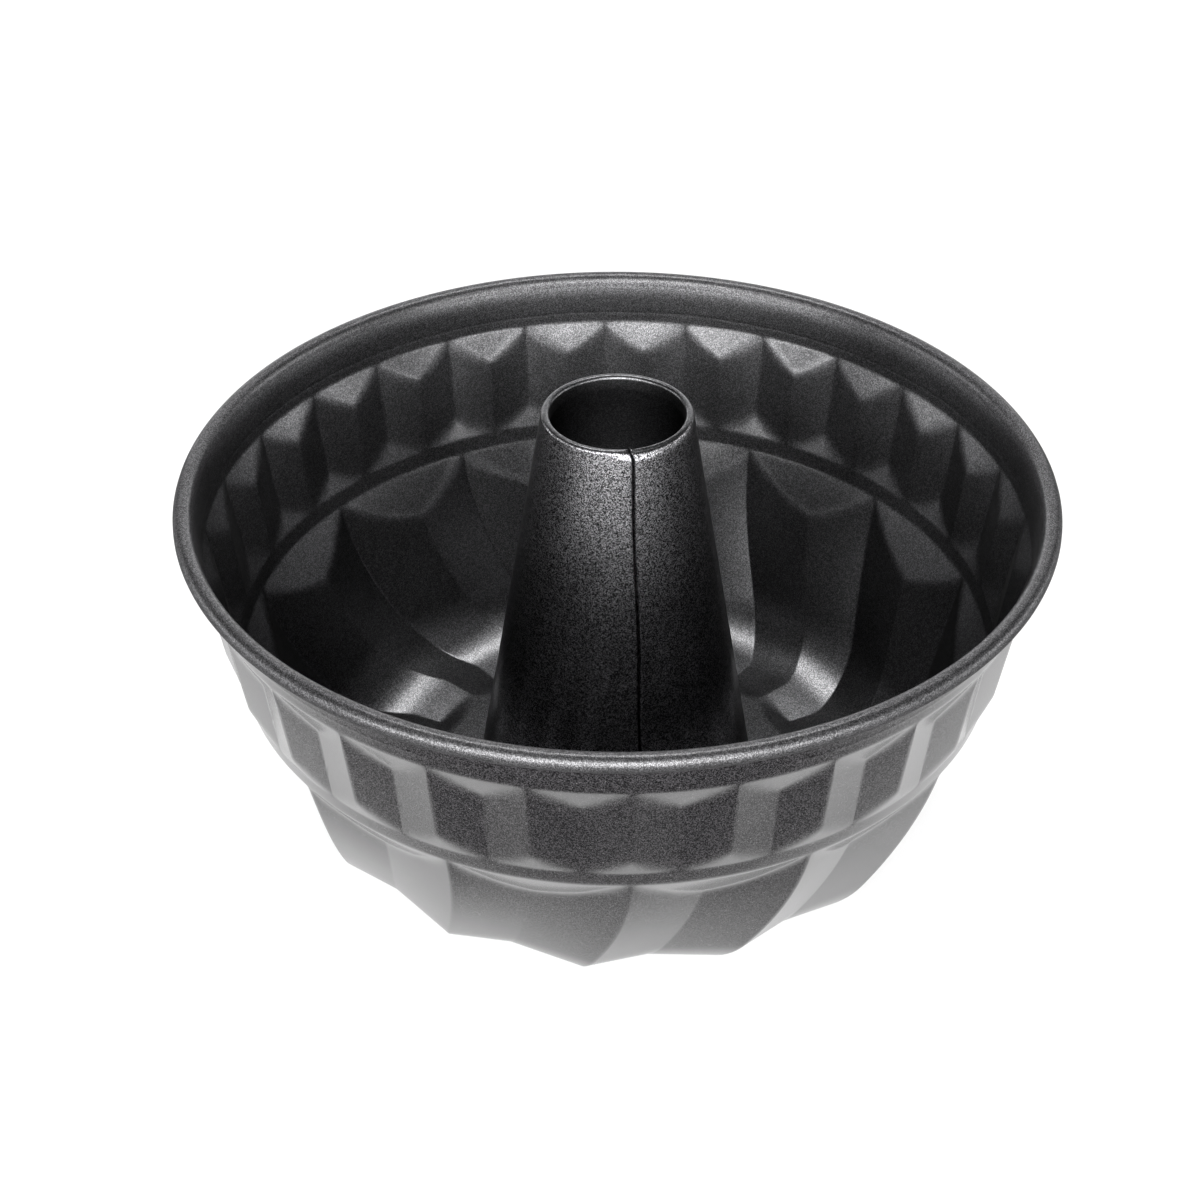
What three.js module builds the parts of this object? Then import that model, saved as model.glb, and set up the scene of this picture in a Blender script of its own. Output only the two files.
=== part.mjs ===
// Kugelhopf mould. A shell pressed from one sheet of steel carries a collar, a band of small
// facets, a plain ring and a band of swirled flutes. A rolled chimney tube is locked into the
// hole in the shell's floor, and a round wire stiffens the rolled rim.
// Millimetres, +Z up, the mould stands on z = 0 and its axis is the Z axis. The first flute
// crest leaves the plain ring at -Y.
import * as THREE from 'three';
import { mergeVertices } from 'three/addons/utils/BufferGeometryUtils.js';

// Overall sizes
const RIM_DIAMETER = 230; // over the rolled bead
const BODY_HEIGHT = 102.5; // table to the top of the bead
const CHIMNEY_RISE = 20.2; // mouth of the chimney above the top of the bead

// Sheet, wire and fits
const SHEET = 0.55;
const WIRE_DIAMETER = 3.2;
const FIT_GAP = 0.3; // left between pieces that touch

// Rolled rim: the sheet turns outwards over the wire and stops short of the collar
const CURL_END = 130; // degrees below the horizontal where the curl's lip ends
const CURL_STEPS = 9;

// Collar and facet band, measured on the inside
const COLLAR_DEPTH = 13.25; // bead centre down to the tops of the facets
const COLLAR_DRAFT = 7.2; // degrees
const FACET_HEIGHT = 23.2; // length of a facet's crest, measured upright
const FACET_DRAFT = 9; // degrees
const FACET_DEPTH = 2.7; // crest to root at the root's upper end
const FACET_TOP_LEDGE = 6.8; // height of the slope that runs into a root from the collar
const FACET_FOOT_LEDGE = 6.35; // height of the slope that runs out of a crest to the ring
const FACET_FOOT_STEP = 2.9; // how far that slope leads inwards

// Plain ring
const RING_HEIGHT = 4.35;
const RING_DRAFT = 11.7; // degrees

// Flute band: each crest falls on two arcs, a long flat one and the turn into the floor
const FLUTE_COUNT = 14; // two facets stand over each flute
const FLUTE_TOP_DRAFT = 12.6; // degrees
const FLUTE_FOOT_DRAFT = 26.5; // degrees, where the turn begins
const FLUTE_TURN_RADIUS = 23;
const FLUTE_LEDGE = 13; // slope from the ring into a root, along the wall
const FLUTE_TOP_DEPTH = 4.8; // crest to root at the end of that slope
const FLUTE_FLOOR_DEPTH = 2.5; // crest to root on the floor
const FLUTE_SWIRL = 14.2; // degrees that a flute has turned when it reaches the floor
const FLUTE_ROOT_LAG = 1.05; // degrees that a root trails the middle between two crests
const CREST_WIDTH = 2.4; // flat along each crest and each root

// Floor inside the turn
const CREST_FLOOR_RUN = 9.3; // stretch of a crest that lies on the table
const CREST_END_RUN = 6; // slope at the inner end of a crest
const FLOOR_RING_WIDTH = 11.8; // flat ring between the crest ends and the chimney

// Chimney tube
const CHIMNEY_MOUTH_RADIUS = 19.7; // outside, below the rolled-in edge
const CHIMNEY_HEM_RADIUS = 1.1; // roll of the mouth's edge
const CHIMNEY_HEM_LENGTH = 3; // depth of the folded edge inside the mouth
const FLANGE_WIDTH = 5; // foot flange under the shell's floor
const LOCK_OVERLAP = 0.6; // reach of the swaged bead over the edge of the floor's hole

// Mesh steps
const TURN_STEPS = 5;
const WALL_STEPS = 2;
const CHIMNEY_SIDES = 56;
const WIRE_SIDES = 10;
const WIRE_SEGMENTS = 84;
const BEAD_STEPS = 4;
const HEM_STEPS = 6;

const rad = THREE.MathUtils.degToRad;
const drop = (height, draft) => height * Math.tan(rad(draft));

// Rim: the bead is the wire, its clearance and the sheet round it
const curlInside = WIRE_DIAMETER / 2 + FIT_GAP;
const beadRadius = curlInside + SHEET;
const rim = { r: RIM_DIAMETER / 2 - beadRadius, z: BODY_HEIGHT - beadRadius };

// Levels and radii of the inside, from the rim down to the plain ring
const facetTop = { z: rim.z - COLLAR_DEPTH, r: rim.r - beadRadius - drop(COLLAR_DEPTH, COLLAR_DRAFT) };
const crestRadius = (z) => facetTop.r - drop(facetTop.z - z, FACET_DRAFT);
const facetFootZ = facetTop.z - FACET_HEIGHT;
const rootTop = { z: facetTop.z - FACET_TOP_LEDGE };
rootTop.r = crestRadius(rootTop.z) - FACET_DEPTH;
const ringTop = { z: facetFootZ - FACET_FOOT_LEDGE, r: crestRadius(facetFootZ) - FACET_FOOT_STEP };
const ringFoot = { z: ringTop.z - RING_HEIGHT, r: ringTop.r - drop(RING_HEIGHT, RING_DRAFT) };
const rootShare = (facetFootZ - ringTop.z) / (rootTop.z - ringTop.z);
const rootAtCrestFoot = { z: facetFootZ, r: THREE.MathUtils.lerp(ringTop.r, rootTop.r, rootShare) };

// The crest line of a flute. Its height fixes the radius of the long arc.
const topLean = rad(FLUTE_TOP_DRAFT);
const footLean = rad(FLUTE_FOOT_DRAFT);
const turnHeight = FLUTE_TURN_RADIUS * (1 - Math.sin(footLean));
const wallHeight = ringFoot.z - SHEET - turnHeight;
const wallRadius = wallHeight / (Math.sin(footLean) - Math.sin(topLean));
const wallLength = wallRadius * (footLean - topLean);
const turnLength = FLUTE_TURN_RADIUS * (Math.PI / 2 - footLean);
const fluteLength = wallLength + turnLength;

/** Point of a flute's crest at a length along it from the ring, with the lean of the wall there. */
function crestAt(length) {
  const onWall = Math.min(length, wallLength);
  const lean = topLean + onWall / wallRadius;
  const r = ringFoot.r - wallRadius * (Math.cos(topLean) - Math.cos(lean));
  const z = ringFoot.z - wallRadius * (Math.sin(lean) - Math.sin(topLean));
  if (length <= wallLength) return { r, z, lean };
  const turn = footLean + (length - wallLength) / FLUTE_TURN_RADIUS;
  return {
    r: r - FLUTE_TURN_RADIUS * (Math.cos(footLean) - Math.cos(turn)),
    z: z - FLUTE_TURN_RADIUS * (Math.sin(turn) - Math.sin(footLean)),
    lean: turn,
  };
}

/** Angle that a flute has turned at a length along its crest, in radians. */
const swirlAt = (length) => -rad(FLUTE_SWIRL) * (length / fluteLength) ** 2;

/** Depth of a flute's root under its crests, which eases from the ledge to the floor. */
function rootDepth(length) {
  const share = (length - FLUTE_LEDGE) / (fluteLength - FLUTE_LEDGE);
  return THREE.MathUtils.lerp(FLUTE_TOP_DEPTH, FLUTE_FLOOR_DEPTH, share);
}

/** Station with one radius all round. */
function roundStation(point, lean, swirl = 0, lag = 0) {
  return { crest: point, root: point, quarter: point, lean, swirl, lag };
}

/** Station of the facet band: crests over every crest and root of the flutes, roots between. */
function facetStation(crest, root) {
  return { crest, root: crest, quarter: root, lean: rad(FACET_DRAFT), swirl: 0, lag: 0 };
}

/** Station of the flute band. The quarter points lie halfway between crest and root. */
function fluteStation(length) {
  const crest = crestAt(length);
  const depth = rootDepth(length);
  const root = { r: crest.r - depth * Math.cos(crest.lean), z: crest.z + depth * Math.sin(crest.lean) };
  return { crest, root, lean: crest.lean, swirl: swirlAt(length), lag: rad(FLUTE_ROOT_LAG) };
}

/** Stations of the inner face from the hole in the floor up to the bead. */
function shellStations() {
  const floorZ = SHEET + FLUTE_FLOOR_DEPTH;
  const swirl = swirlAt(fluteLength);
  const lag = rad(FLUTE_ROOT_LAG);
  const down = Math.PI / 2;
  const turnEnd = crestAt(fluteLength);
  const crestEnd = turnEnd.r - CREST_FLOOR_RUN;
  const floorEdge = crestEnd - CREST_END_RUN;
  const midSlope = (crestEnd + floorEdge) / 2;
  const onFloor = (r, crestZ) => ({
    crest: { r, z: crestZ },
    root: { r, z: floorZ },
    lean: down,
    swirl,
    lag,
  });

  const stations = [
    roundStation({ r: floorEdge - FLOOR_RING_WIDTH, z: floorZ }, down, swirl, lag),
    roundStation({ r: floorEdge, z: floorZ }, down, swirl, lag),
    onFloor(midSlope, SHEET + FLUTE_FLOOR_DEPTH / 2),
    onFloor(crestEnd, SHEET),
  ];
  for (let step = 0; step < TURN_STEPS; step += 1) {
    stations.push(fluteStation(fluteLength - (turnLength * step) / TURN_STEPS));
  }
  for (let step = 0; step < WALL_STEPS; step += 1) {
    stations.push(fluteStation(wallLength - ((wallLength - FLUTE_LEDGE) * step) / WALL_STEPS));
  }

  // Ledge of the flutes: its edge runs from each crest at the ring to the top of each root
  const apex = fluteStation(FLUTE_LEDGE);
  const ring = roundStation(ringFoot, (rad(RING_DRAFT) + topLean) / 2);
  const middle = crestAt(FLUTE_LEDGE / 2);
  stations.push(apex, {
    crest: middle,
    root: { r: (ringFoot.r + apex.root.r) / 2, z: (ringFoot.z + apex.root.z) / 2 },
    edge: { above: ring, below: apex },
    lean: middle.lean,
    swirl: swirlAt(FLUTE_LEDGE / 2),
    lag: apex.lag / 2,
  });

  const facetCrest = (z) => ({ r: crestRadius(z), z });
  stations.push(
    ring,
    roundStation(ringTop, rad(RING_DRAFT)),
    facetStation(facetCrest(facetFootZ), rootAtCrestFoot),
    facetStation(facetCrest(rootTop.z), rootTop),
    roundStation(facetTop, (rad(FACET_DRAFT) + rad(COLLAR_DRAFT)) / 2),
    roundStation({ r: rim.r - beadRadius, z: rim.z }, 0),
  );
  return stations;
}

const polar = ({ r, z }, angle) => new THREE.Vector3(r * Math.sin(angle), -r * Math.cos(angle), z);
const pitch = (2 * Math.PI) / FLUTE_COUNT;

/** Points of one flute at a station, moved outwards from the inner face by a thickness. */
function flutePoints(station, thickness, start) {
  const { lean, swirl, lag } = station;
  const outwards = ({ r, z }) => ({ r: r + thickness * Math.cos(lean), z: z - thickness * Math.sin(lean) });
  const crest = outwards(station.crest);
  const root = outwards(station.root);
  const crestAngle = start + swirl;
  const rootAngle = crestAngle + pitch / 2 - lag;
  const crestHalf = CREST_WIDTH / 2 / crest.r;
  const rootHalf = CREST_WIDTH / 2 / root.r;
  const points = [
    polar(crest, crestAngle - crestHalf),
    polar(crest, crestAngle + crestHalf),
    null,
    polar(root, rootAngle - rootHalf),
    polar(root, rootAngle + rootHalf),
    null,
  ];
  const nextCrest = polar(crest, crestAngle + pitch - crestHalf);
  if (station.quarter) {
    const quarter = outwards(station.quarter);
    points[2] = polar(quarter, crestAngle + pitch / 4 - lag / 2);
    points[5] = polar(quarter, crestAngle + (3 * pitch) / 4 - lag / 2);
  } else if (station.edge) {
    const above = flutePoints(station.edge.above, thickness, start);
    const aboveNext = flutePoints(station.edge.above, thickness, start + pitch);
    const below = flutePoints(station.edge.below, thickness, start);
    points[2] = above[1].clone().lerp(below[3], 0.5);
    points[5] = below[4].clone().lerp(aboveNext[0], 0.5);
  } else {
    points[2] = points[1].clone().lerp(points[3], 0.5);
    points[5] = points[4].clone().lerp(nextCrest, 0.5);
  }
  return points;
}

/** One row of points all round the shell; its rank orders the rows from the floor to the rim. */
function shellRow(station, thickness, rank) {
  const points = [];
  for (let flute = 0; flute < FLUTE_COUNT; flute += 1) {
    points.push(...flutePoints(station, thickness, flute * pitch));
  }
  return { points, rank };
}

/** Closed ring of sheet. A lathe gives its quads, which are then moved out to the pleated rows. */
function pleatedRing(rows) {
  const columns = rows[0].points.length;
  const closed = [...rows, rows[0]];
  const inSection = ({ x, y, z }) => new THREE.Vector2(Math.hypot(x, y), z);
  const section = closed.map(({ points }) => inSection(points[0]));
  const geometry = new THREE.LatheGeometry(section, columns);
  const position = geometry.getAttribute('position');
  const faces = [];
  const outerness = (row, next, column) => {
    const at = (points) => Math.hypot(points[column].x, points[column].y) - points[column].z;
    return at(row.points) + at(next.points);
  };
  for (let column = 0; column <= columns; column += 1) {
    for (let index = 0; index < closed.length; index += 1) {
      const { x, y, z } = closed[index].points[column % columns];
      position.setXYZ(column * closed.length + index, x, y, z);
    }
  }
  // Each quad is split along the line that a pleat's edge takes: from the upper end on the crest
  // side to the lower end on the root side
  for (let column = 0; column < columns; column += 1) {
    for (let index = 0; index + 1 < closed.length; index += 1) {
      const [row, next] = [closed[index], closed[index + 1]];
      const crestFirst = outerness(row, next, column) > outerness(row, next, (column + 1) % columns);
      const climbing = next.rank > row.rank;
      const a = column * closed.length + index;
      const b = a + closed.length;
      const c = b + 1;
      const d = a + 1;
      if (crestFirst === climbing) faces.push(a, b, d, c, d, b);
      else faces.push(a, b, c, a, c, d);
    }
  }
  geometry.setIndex(faces);
  return weld(geometry);
}

/** Geometry with its shared points merged, so that the body is closed. */
function weld(geometry) {
  geometry.deleteAttribute('normal');
  geometry.deleteAttribute('uv');
  const welded = mergeVertices(geometry);
  welded.computeVertexNormals();
  return welded;
}

/** Closed section turned about the Z axis. */
function turned(section, sides) {
  const points = [...section, section[0]].map(({ r, z }) => new THREE.Vector2(r, z));
  return weld(new THREE.LatheGeometry(points, sides).rotateX(Math.PI / 2));
}

/** Points of an arc in the section, both ends included, from one angle to another in degrees. */
function arc(centre, radius, from, to, steps) {
  return Array.from({ length: steps + 1 }, (_, step) => {
    const angle = rad(from + ((to - from) * step) / steps);
    return { r: centre.r + radius * Math.cos(angle), z: centre.z + radius * Math.sin(angle) };
  });
}

const stations = shellStations();
const hole = stations[0].crest;

/** Pressed shell: outer face upwards, round the curl over the wire and down the inner face. */
function mouldShell() {
  const outer = stations.map((station, rank) => shellRow(station, SHEET, rank));
  const inner = stations.map((station, rank) => shellRow(station, 0, rank)).reverse();
  const curlRow = (point) => shellRow(roundStation(point, 0), 0, stations.length);
  const curl = (radius) => arc(rim, radius, 180, -CURL_END, CURL_STEPS).slice(1).map(curlRow);
  return pleatedRing([...outer, ...curl(curlInside), ...curl(beadRadius).reverse(), ...inner]);
}

/** Chimney: foot flange under the floor, swaged bead over it, taper and rolled-in mouth. */
function chimneyTube() {
  const foot = hole.r - FIT_GAP;
  const flangeTop = hole.z - SHEET - FIT_GAP;
  const lockStart = hole.z + FIT_GAP;
  const lockRadius = FIT_GAP + LOCK_OVERLAP;
  const lock = arc({ r: foot, z: lockStart + lockRadius }, lockRadius, -90, 90, BEAD_STEPS);
  const hemCentre = {
    r: CHIMNEY_MOUTH_RADIUS - CHIMNEY_HEM_RADIUS,
    z: BODY_HEIGHT + CHIMNEY_RISE - CHIMNEY_HEM_RADIUS,
  };
  const hem = arc(hemCentre, CHIMNEY_HEM_RADIUS, 0, 180, HEM_STEPS);
  const taperFoot = lock[lock.length - 1];
  const hemFoot = hemCentre.z - CHIMNEY_HEM_LENGTH;
  const share = CHIMNEY_HEM_LENGTH / (hemCentre.z - taperFoot.z);
  const wallAtHemFoot = THREE.MathUtils.lerp(CHIMNEY_MOUTH_RADIUS, foot, share);
  const inside = ({ r, z }) => ({ r: r - SHEET, z });
  return turned(
    [
      { r: foot - SHEET, z: flangeTop - SHEET },
      { r: foot + FLANGE_WIDTH, z: flangeTop - SHEET },
      { r: foot + FLANGE_WIDTH, z: flangeTop },
      { r: foot, z: flangeTop },
      ...lock,
      ...hem,
      { r: wallAtHemFoot - 2 * CHIMNEY_HEM_RADIUS, z: hemFoot },
      { r: wallAtHemFoot - SHEET, z: hemFoot },
      ...lock.map(inside).reverse(),
    ],
    CHIMNEY_SIDES,
  );
}

/** Round wire inside the rolled rim. */
function rimWire() {
  const section = arc(rim, WIRE_DIAMETER / 2, 0, 360, WIRE_SIDES).slice(0, WIRE_SIDES);
  return turned(section, WIRE_SEGMENTS);
}

/** Named mesh with its own material. */
function piece(name, geometry, finish) {
  const mesh = new THREE.Mesh(geometry, new THREE.MeshStandardMaterial(finish));
  mesh.name = name;
  return mesh;
}

const coating = { color: 0x2b2b2d, roughness: 0.38, metalness: 0.55 };
const bareWire = { color: 0x9a9c9e, roughness: 0.35, metalness: 1 };

const mould = new THREE.Group();
mould.name = 'kugelhopf_mould';
mould.add(
  piece('mould_shell', mouldShell(), coating),
  piece('chimney_tube', chimneyTube(), { ...coating, roughness: 0.42 }),
  piece('rim_wire', rimWire(), bareWire),
);

export default mould;
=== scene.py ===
"""Looks of a kugelhopf mould: the pressed shell, its chimney tube and the wire in its rim.

The shell and the chimney are modelled again as thin sheets with rounded edges and stand for the
plain solids of the frame. The rim wire is carried over from the frame and gets a finish.
The mould's sizes are in millimetres and the studio's in metres. Angles are in degrees where they
are sizes and in radians where they place a point. Meshes are in metres, in the frame's own axes.
An angle round the mould is 0 at the front, on -Y, and grows towards +X.
"""

import logging
import math
from dataclasses import dataclass
from enum import Enum
from functools import cached_property

import bmesh
import bpy
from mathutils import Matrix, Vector


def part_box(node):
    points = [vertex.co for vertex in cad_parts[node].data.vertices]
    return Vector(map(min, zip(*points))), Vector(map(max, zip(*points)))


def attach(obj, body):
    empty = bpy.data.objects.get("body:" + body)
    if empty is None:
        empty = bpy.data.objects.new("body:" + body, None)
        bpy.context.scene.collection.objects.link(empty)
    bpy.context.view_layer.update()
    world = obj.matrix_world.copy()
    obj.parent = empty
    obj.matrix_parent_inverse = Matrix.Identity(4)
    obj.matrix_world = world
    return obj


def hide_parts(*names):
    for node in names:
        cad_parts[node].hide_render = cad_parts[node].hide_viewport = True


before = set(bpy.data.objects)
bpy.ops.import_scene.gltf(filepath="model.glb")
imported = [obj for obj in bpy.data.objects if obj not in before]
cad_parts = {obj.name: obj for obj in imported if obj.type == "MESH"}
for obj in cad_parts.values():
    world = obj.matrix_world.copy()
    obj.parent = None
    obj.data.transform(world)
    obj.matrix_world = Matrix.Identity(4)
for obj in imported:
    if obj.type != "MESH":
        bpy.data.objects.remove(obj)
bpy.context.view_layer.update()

MM = 0.001
BODY = "root"
LOG = logging.getLogger("kugelhopf_mould")

# Fineness of the meshes
LOCK_STEPS = 6
TAPER_STEPS = 36
SHOULDER_STEPS = 7
HEM_STEPS = 12
COVE_STEPS = 8
FLOOR_COLUMNS = 64
SEAM_PASSES = 2  # rounds of smoothing along the lines between two bands
SEAM_SMOOTHING = 0.4  # how far a point moves towards its neighbours in one round
SHARP_ANGLE = 50.0  # degrees between faces, past which an edge is not shaded smooth
MERGE_DISTANCE = 0.001  # millimetres

# What the coatings share
FLAKE_SKEW = 2.0  # power of the flakes' tones, which makes the bright ones rare
SPARK_FADE = (0.15, 0.5)  # distances from a flake's middle between which a spark fades, in flakes
CLOUD_SIZE = 26.0  # millimetres, slow changes of gloss
CLOUD_DETAIL = 3.0
CLOUD_GRAIN = 0.55
FINE_DETAIL = 2.0  # detail of the peel, and of the lines in drawn wire
NOISE_RANGE = (0.3, 0.7)  # nearly all of a noise pattern lies in this range
MOST_LEAN = 2.0  # more than a face can lean outwards
BEAD_MARGIN = 0.3  # millimetres round the bead that still count as the bead
BEAD_WEAR = 0.4  # how far the coat on the bead is like the outer one
BEAD_ROUGHNESS = 0.09  # how much rougher it is
PLAIN_FACING = 0.5  # Layer Weight's blend at which its facing is one less the cosine
CLEAR_RANGE = (0.32, 0.80)  # facing over which the clear layer comes in, 0 towards the viewer
EDGE_TINT = 0.5  # how much of the flakes' shine is left at a low angle

Colour = tuple[float, float, float]
Pair = tuple[float, float]  # radius and height of a point in a section, or the ends of a range
Sockets = bpy.types.bpy_prop_collection  # outputs of a node


def lerp(start: float, end: float, share: float) -> float:
    """Value at a share of the way from start to end."""
    return start + (end - start) * share


def drop(height: float, draft: float) -> float:
    """How far a wall leads inwards over a height, at a draft in degrees."""
    return height * math.tan(math.radians(draft))


def polar(radius: float, angle: float, height: float) -> Vector:
    """Point at a radius, an angle in radians and a height."""
    return Vector((radius * math.sin(angle), -radius * math.cos(angle), height))


def bearing(azimuth: float, elevation: float) -> Vector:
    """Unit vector towards an azimuth and an elevation in degrees."""
    lift = math.radians(elevation)
    return polar(math.cos(lift), math.radians(azimuth), math.sin(lift))


def grey(tone: float) -> tuple[float, float, float, float]:
    """Neutral colour of a tone, as a socket takes it."""
    return tone, tone, tone, 1.0


def arc(centre: Pair, radius: float, turn: Pair, steps: int) -> list[Pair]:
    """Points of an arc in a section.

    Args:
        centre: Radius and height of the arc's centre.
        radius: The arc's own radius.
        turn: Angles in radians at which it starts and ends, 0 outwards and growing upwards.
        steps: Straight steps that it is made of.

    Returns:
        The points, both ends among them.
    """
    angles = [lerp(*turn, step / steps) for step in range(steps + 1)]
    return [(centre[0] + radius * math.cos(at), centre[1] + radius * math.sin(at)) for at in angles]


def rounded_least(first: float, second: float, reach: float) -> float:
    """Lesser of two depths, with the corner where they cross rounded off.

    Args:
        first: One depth.
        second: The other depth.
        reach: Difference of the two within which the corner is rounded.

    Returns:
        The lesser depth, or a little less near the crossing.
    """
    if reach <= 0.0:
        return min(first, second)
    overlap = max(reach - abs(first - second), 0.0)
    return min(first, second) - overlap * overlap / (4.0 * reach)


def rounded_most(first: float, second: float, reach: float) -> float:
    """Greater of two depths, with the corner where they cross rounded off."""
    return -rounded_least(-first, -second, reach)


def eased_share(share: float, rounding: float) -> float:
    """Share of the way across a panel, with the edges at both ends rounded.

    Args:
        share: Plain share, 0 on the crest and 1 in the root.
        rounding: Width of the rounded edge as a share of the panel's width.

    Returns:
        The share of the panel's depth that is reached there.
    """

    def raw(at: float) -> float:
        """Share before its ends are stretched to 0 and 1."""
        return 0.5 * (1.0 + math.hypot(at, rounding) - math.hypot(1.0 - at, rounding))

    return (raw(share) - raw(0.0)) / (1.0 - 2.0 * raw(0.0))


def spun(
    section: list[Pair], columns: int, unit: float = MM
) -> tuple[bmesh.types.BMesh, bmesh.types.BMLayerItem]:
    """Spins a section once round the Z axis.

    Args:
        section: Radius and height of each point.
        columns: Steps round the axis.
        unit: Metres in one unit of the section.

    Returns:
        The mesh, and the layer that holds each point's rank in the section.
    """
    mesh = bmesh.new()
    rank = mesh.verts.layers.int.new("rank")
    points = [mesh.verts.new(polar(radius * unit, 0.0, height * unit)) for radius, height in section]
    for number, point in enumerate(points):
        point[rank] = number
    edges = [mesh.edges.new(pair) for pair in zip(points, points[1:])]
    bmesh.ops.spin(
        mesh,
        geom=points + edges,
        axis=(0.0, 0.0, 1.0),
        cent=(0.0, 0.0, 0.0),
        steps=columns,
        angle=math.tau,
        use_merge=True,
    )
    return mesh, rank


def merge_and_turn(mesh: bmesh.types.BMesh) -> None:
    """Merges a mesh's doubles and turns its faces the same way."""
    bmesh.ops.remove_doubles(mesh, verts=mesh.verts[:], dist=MERGE_DISTANCE * MM)
    bmesh.ops.recalc_face_normals(mesh, faces=mesh.faces[:])


def linked_object(mesh: bmesh.types.BMesh, name: str) -> bpy.types.Object:
    """Makes a smooth object of a mesh and links it to the scene.

    Args:
        mesh: The finished mesh, which is freed.
        name: Name of the object and of its data.

    Returns:
        The new object.
    """
    for face in mesh.faces:
        face.smooth = True
    data = bpy.data.meshes.new(name)
    mesh.to_mesh(data)
    mesh.free()
    made = bpy.data.objects.new(name, data)
    bpy.context.scene.collection.objects.link(made)
    return made


def hang(made: bpy.types.Object, aim: Vector, away: Vector) -> None:
    """Links a lamp or a camera so that it looks back at a point.

    Args:
        made: The lamp or camera.
        aim: The point, in metres.
        away: Way from the point to the object, in metres.
    """
    made.location = aim + away
    made.rotation_euler = (-away).to_track_quat("-Z", "Y").to_euler()
    bpy.context.scene.collection.objects.link(made)


class NodeSheet:
    """Short way to place nodes in one shader tree and link them."""

    def __init__(self, tree: bpy.types.NodeTree) -> None:
        """Starts on an emptied tree."""
        self.tree = tree
        tree.nodes.clear()

    @classmethod
    def of_material(cls, name: str) -> tuple[bpy.types.Material, "NodeSheet"]:
        """Starts a material.

        Args:
            name: Name of the material.

        Returns:
            The new material, and the sheet of its nodes.
        """
        made = bpy.data.materials.new(name)
        made.use_nodes = True
        return made, cls(made.node_tree)

    def feed(self, socket: bpy.types.NodeSocket, value: object) -> None:
        """Gives an input its value.

        Args:
            socket: The input.
            value: A plain value, or a socket to link from.
        """
        if isinstance(value, bpy.types.NodeSocket):
            self.tree.links.new(value, socket)
        else:
            socket.default_value = value

    def add(self, kind: str, inputs: dict | None = None, **settings: object) -> bpy.types.Node:
        """Places one node.

        Args:
            kind: Node type without its ShaderNode prefix, or a full type name.
            inputs: Socket names or numbers, each with a value or a socket to link from.
            settings: Attributes of the node itself.

        Returns:
            The new node.
        """
        full_name = kind.startswith("NodeGroup")
        node = self.tree.nodes.new(kind if full_name else "ShaderNode" + kind)
        for name, value in settings.items():
            setattr(node, name, value)
        for name, value in (inputs or {}).items():
            self.feed(node.inputs[name], value)
        return node

    def math(self, operation: str, first: object, second: object = 0.0) -> bpy.types.NodeSocket:
        """Output of a Math node with two operands, each a number or a socket."""
        return self.add("Math", {0: first, 1: second}, operation=operation).outputs[0]

    def vector(self, operation: str, inputs: dict) -> Sockets:
        """Outputs of a Vector Math node, Vector and Value."""
        return self.add("VectorMath", inputs, operation=operation).outputs

    def span(self, value: object, ends: Pair, new_ends: Pair, **settings: object) -> bpy.types.NodeSocket:
        """Output of a Map Range node, clamped to its new ends.

        Args:
            value: Number or socket that is mapped.
            ends: The range that it comes from.
            new_ends: The range that it goes to.
            settings: Attributes of the node itself.

        Returns:
            The socket of the result.
        """
        names = ("From Min", "From Max", "To Min", "To Max")
        places = {"Value": value} | dict(zip(names, (*ends, *new_ends)))
        return self.add("MapRange", places, **settings).outputs["Result"]

    def between(self, share: object, first: object, second: object) -> bpy.types.NodeSocket:
        """Number between two others, which a Mix node takes on its sockets 2 and 3."""
        return self.add("Mix", {0: share, 2: first, 3: second}, data_type="FLOAT").outputs[0]

    def blend(self, share: object, first: object, second: object) -> bpy.types.NodeSocket:
        """Colour between two others.

        Args:
            share: Socket with the share of the second colour.
            first: A colour or a socket.
            second: A colour or a socket.

        Returns:
            The socket of the mixed colour.
        """
        node = self.add("Mix", data_type="RGBA")
        wanted = {"Factor_Float": share, "A_Color": first, "B_Color": second}
        for socket in node.inputs:
            if socket.identifier in wanted:
                value = wanted[socket.identifier]
                self.feed(socket, (*value, 1.0) if isinstance(value, tuple) else value)
        return next(out for out in node.outputs if out.identifier == "Result_Color")


def new_group(name: str, vectors: list[str], numbers: list[str], outputs: list[str]) -> NodeSheet:
    """Starts a shader node group with its sockets.

    Args:
        name: Name of the group.
        vectors: Names of its vector inputs.
        numbers: Names of its number inputs.
        outputs: Names of its outputs, all plain numbers.

    Returns:
        The sheet on which the group's nodes are placed.
    """
    tree = bpy.data.node_groups.new(name, "ShaderNodeTree")
    for socket in vectors:
        tree.interface.new_socket(name=socket, in_out="INPUT", socket_type="NodeSocketVector")
    for socket in numbers:
        tree.interface.new_socket(name=socket, in_out="INPUT", socket_type="NodeSocketFloat")
    for socket in outputs:
        tree.interface.new_socket(name=socket, in_out="OUTPUT", socket_type="NodeSocketFloat")
    return NodeSheet(tree)


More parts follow.
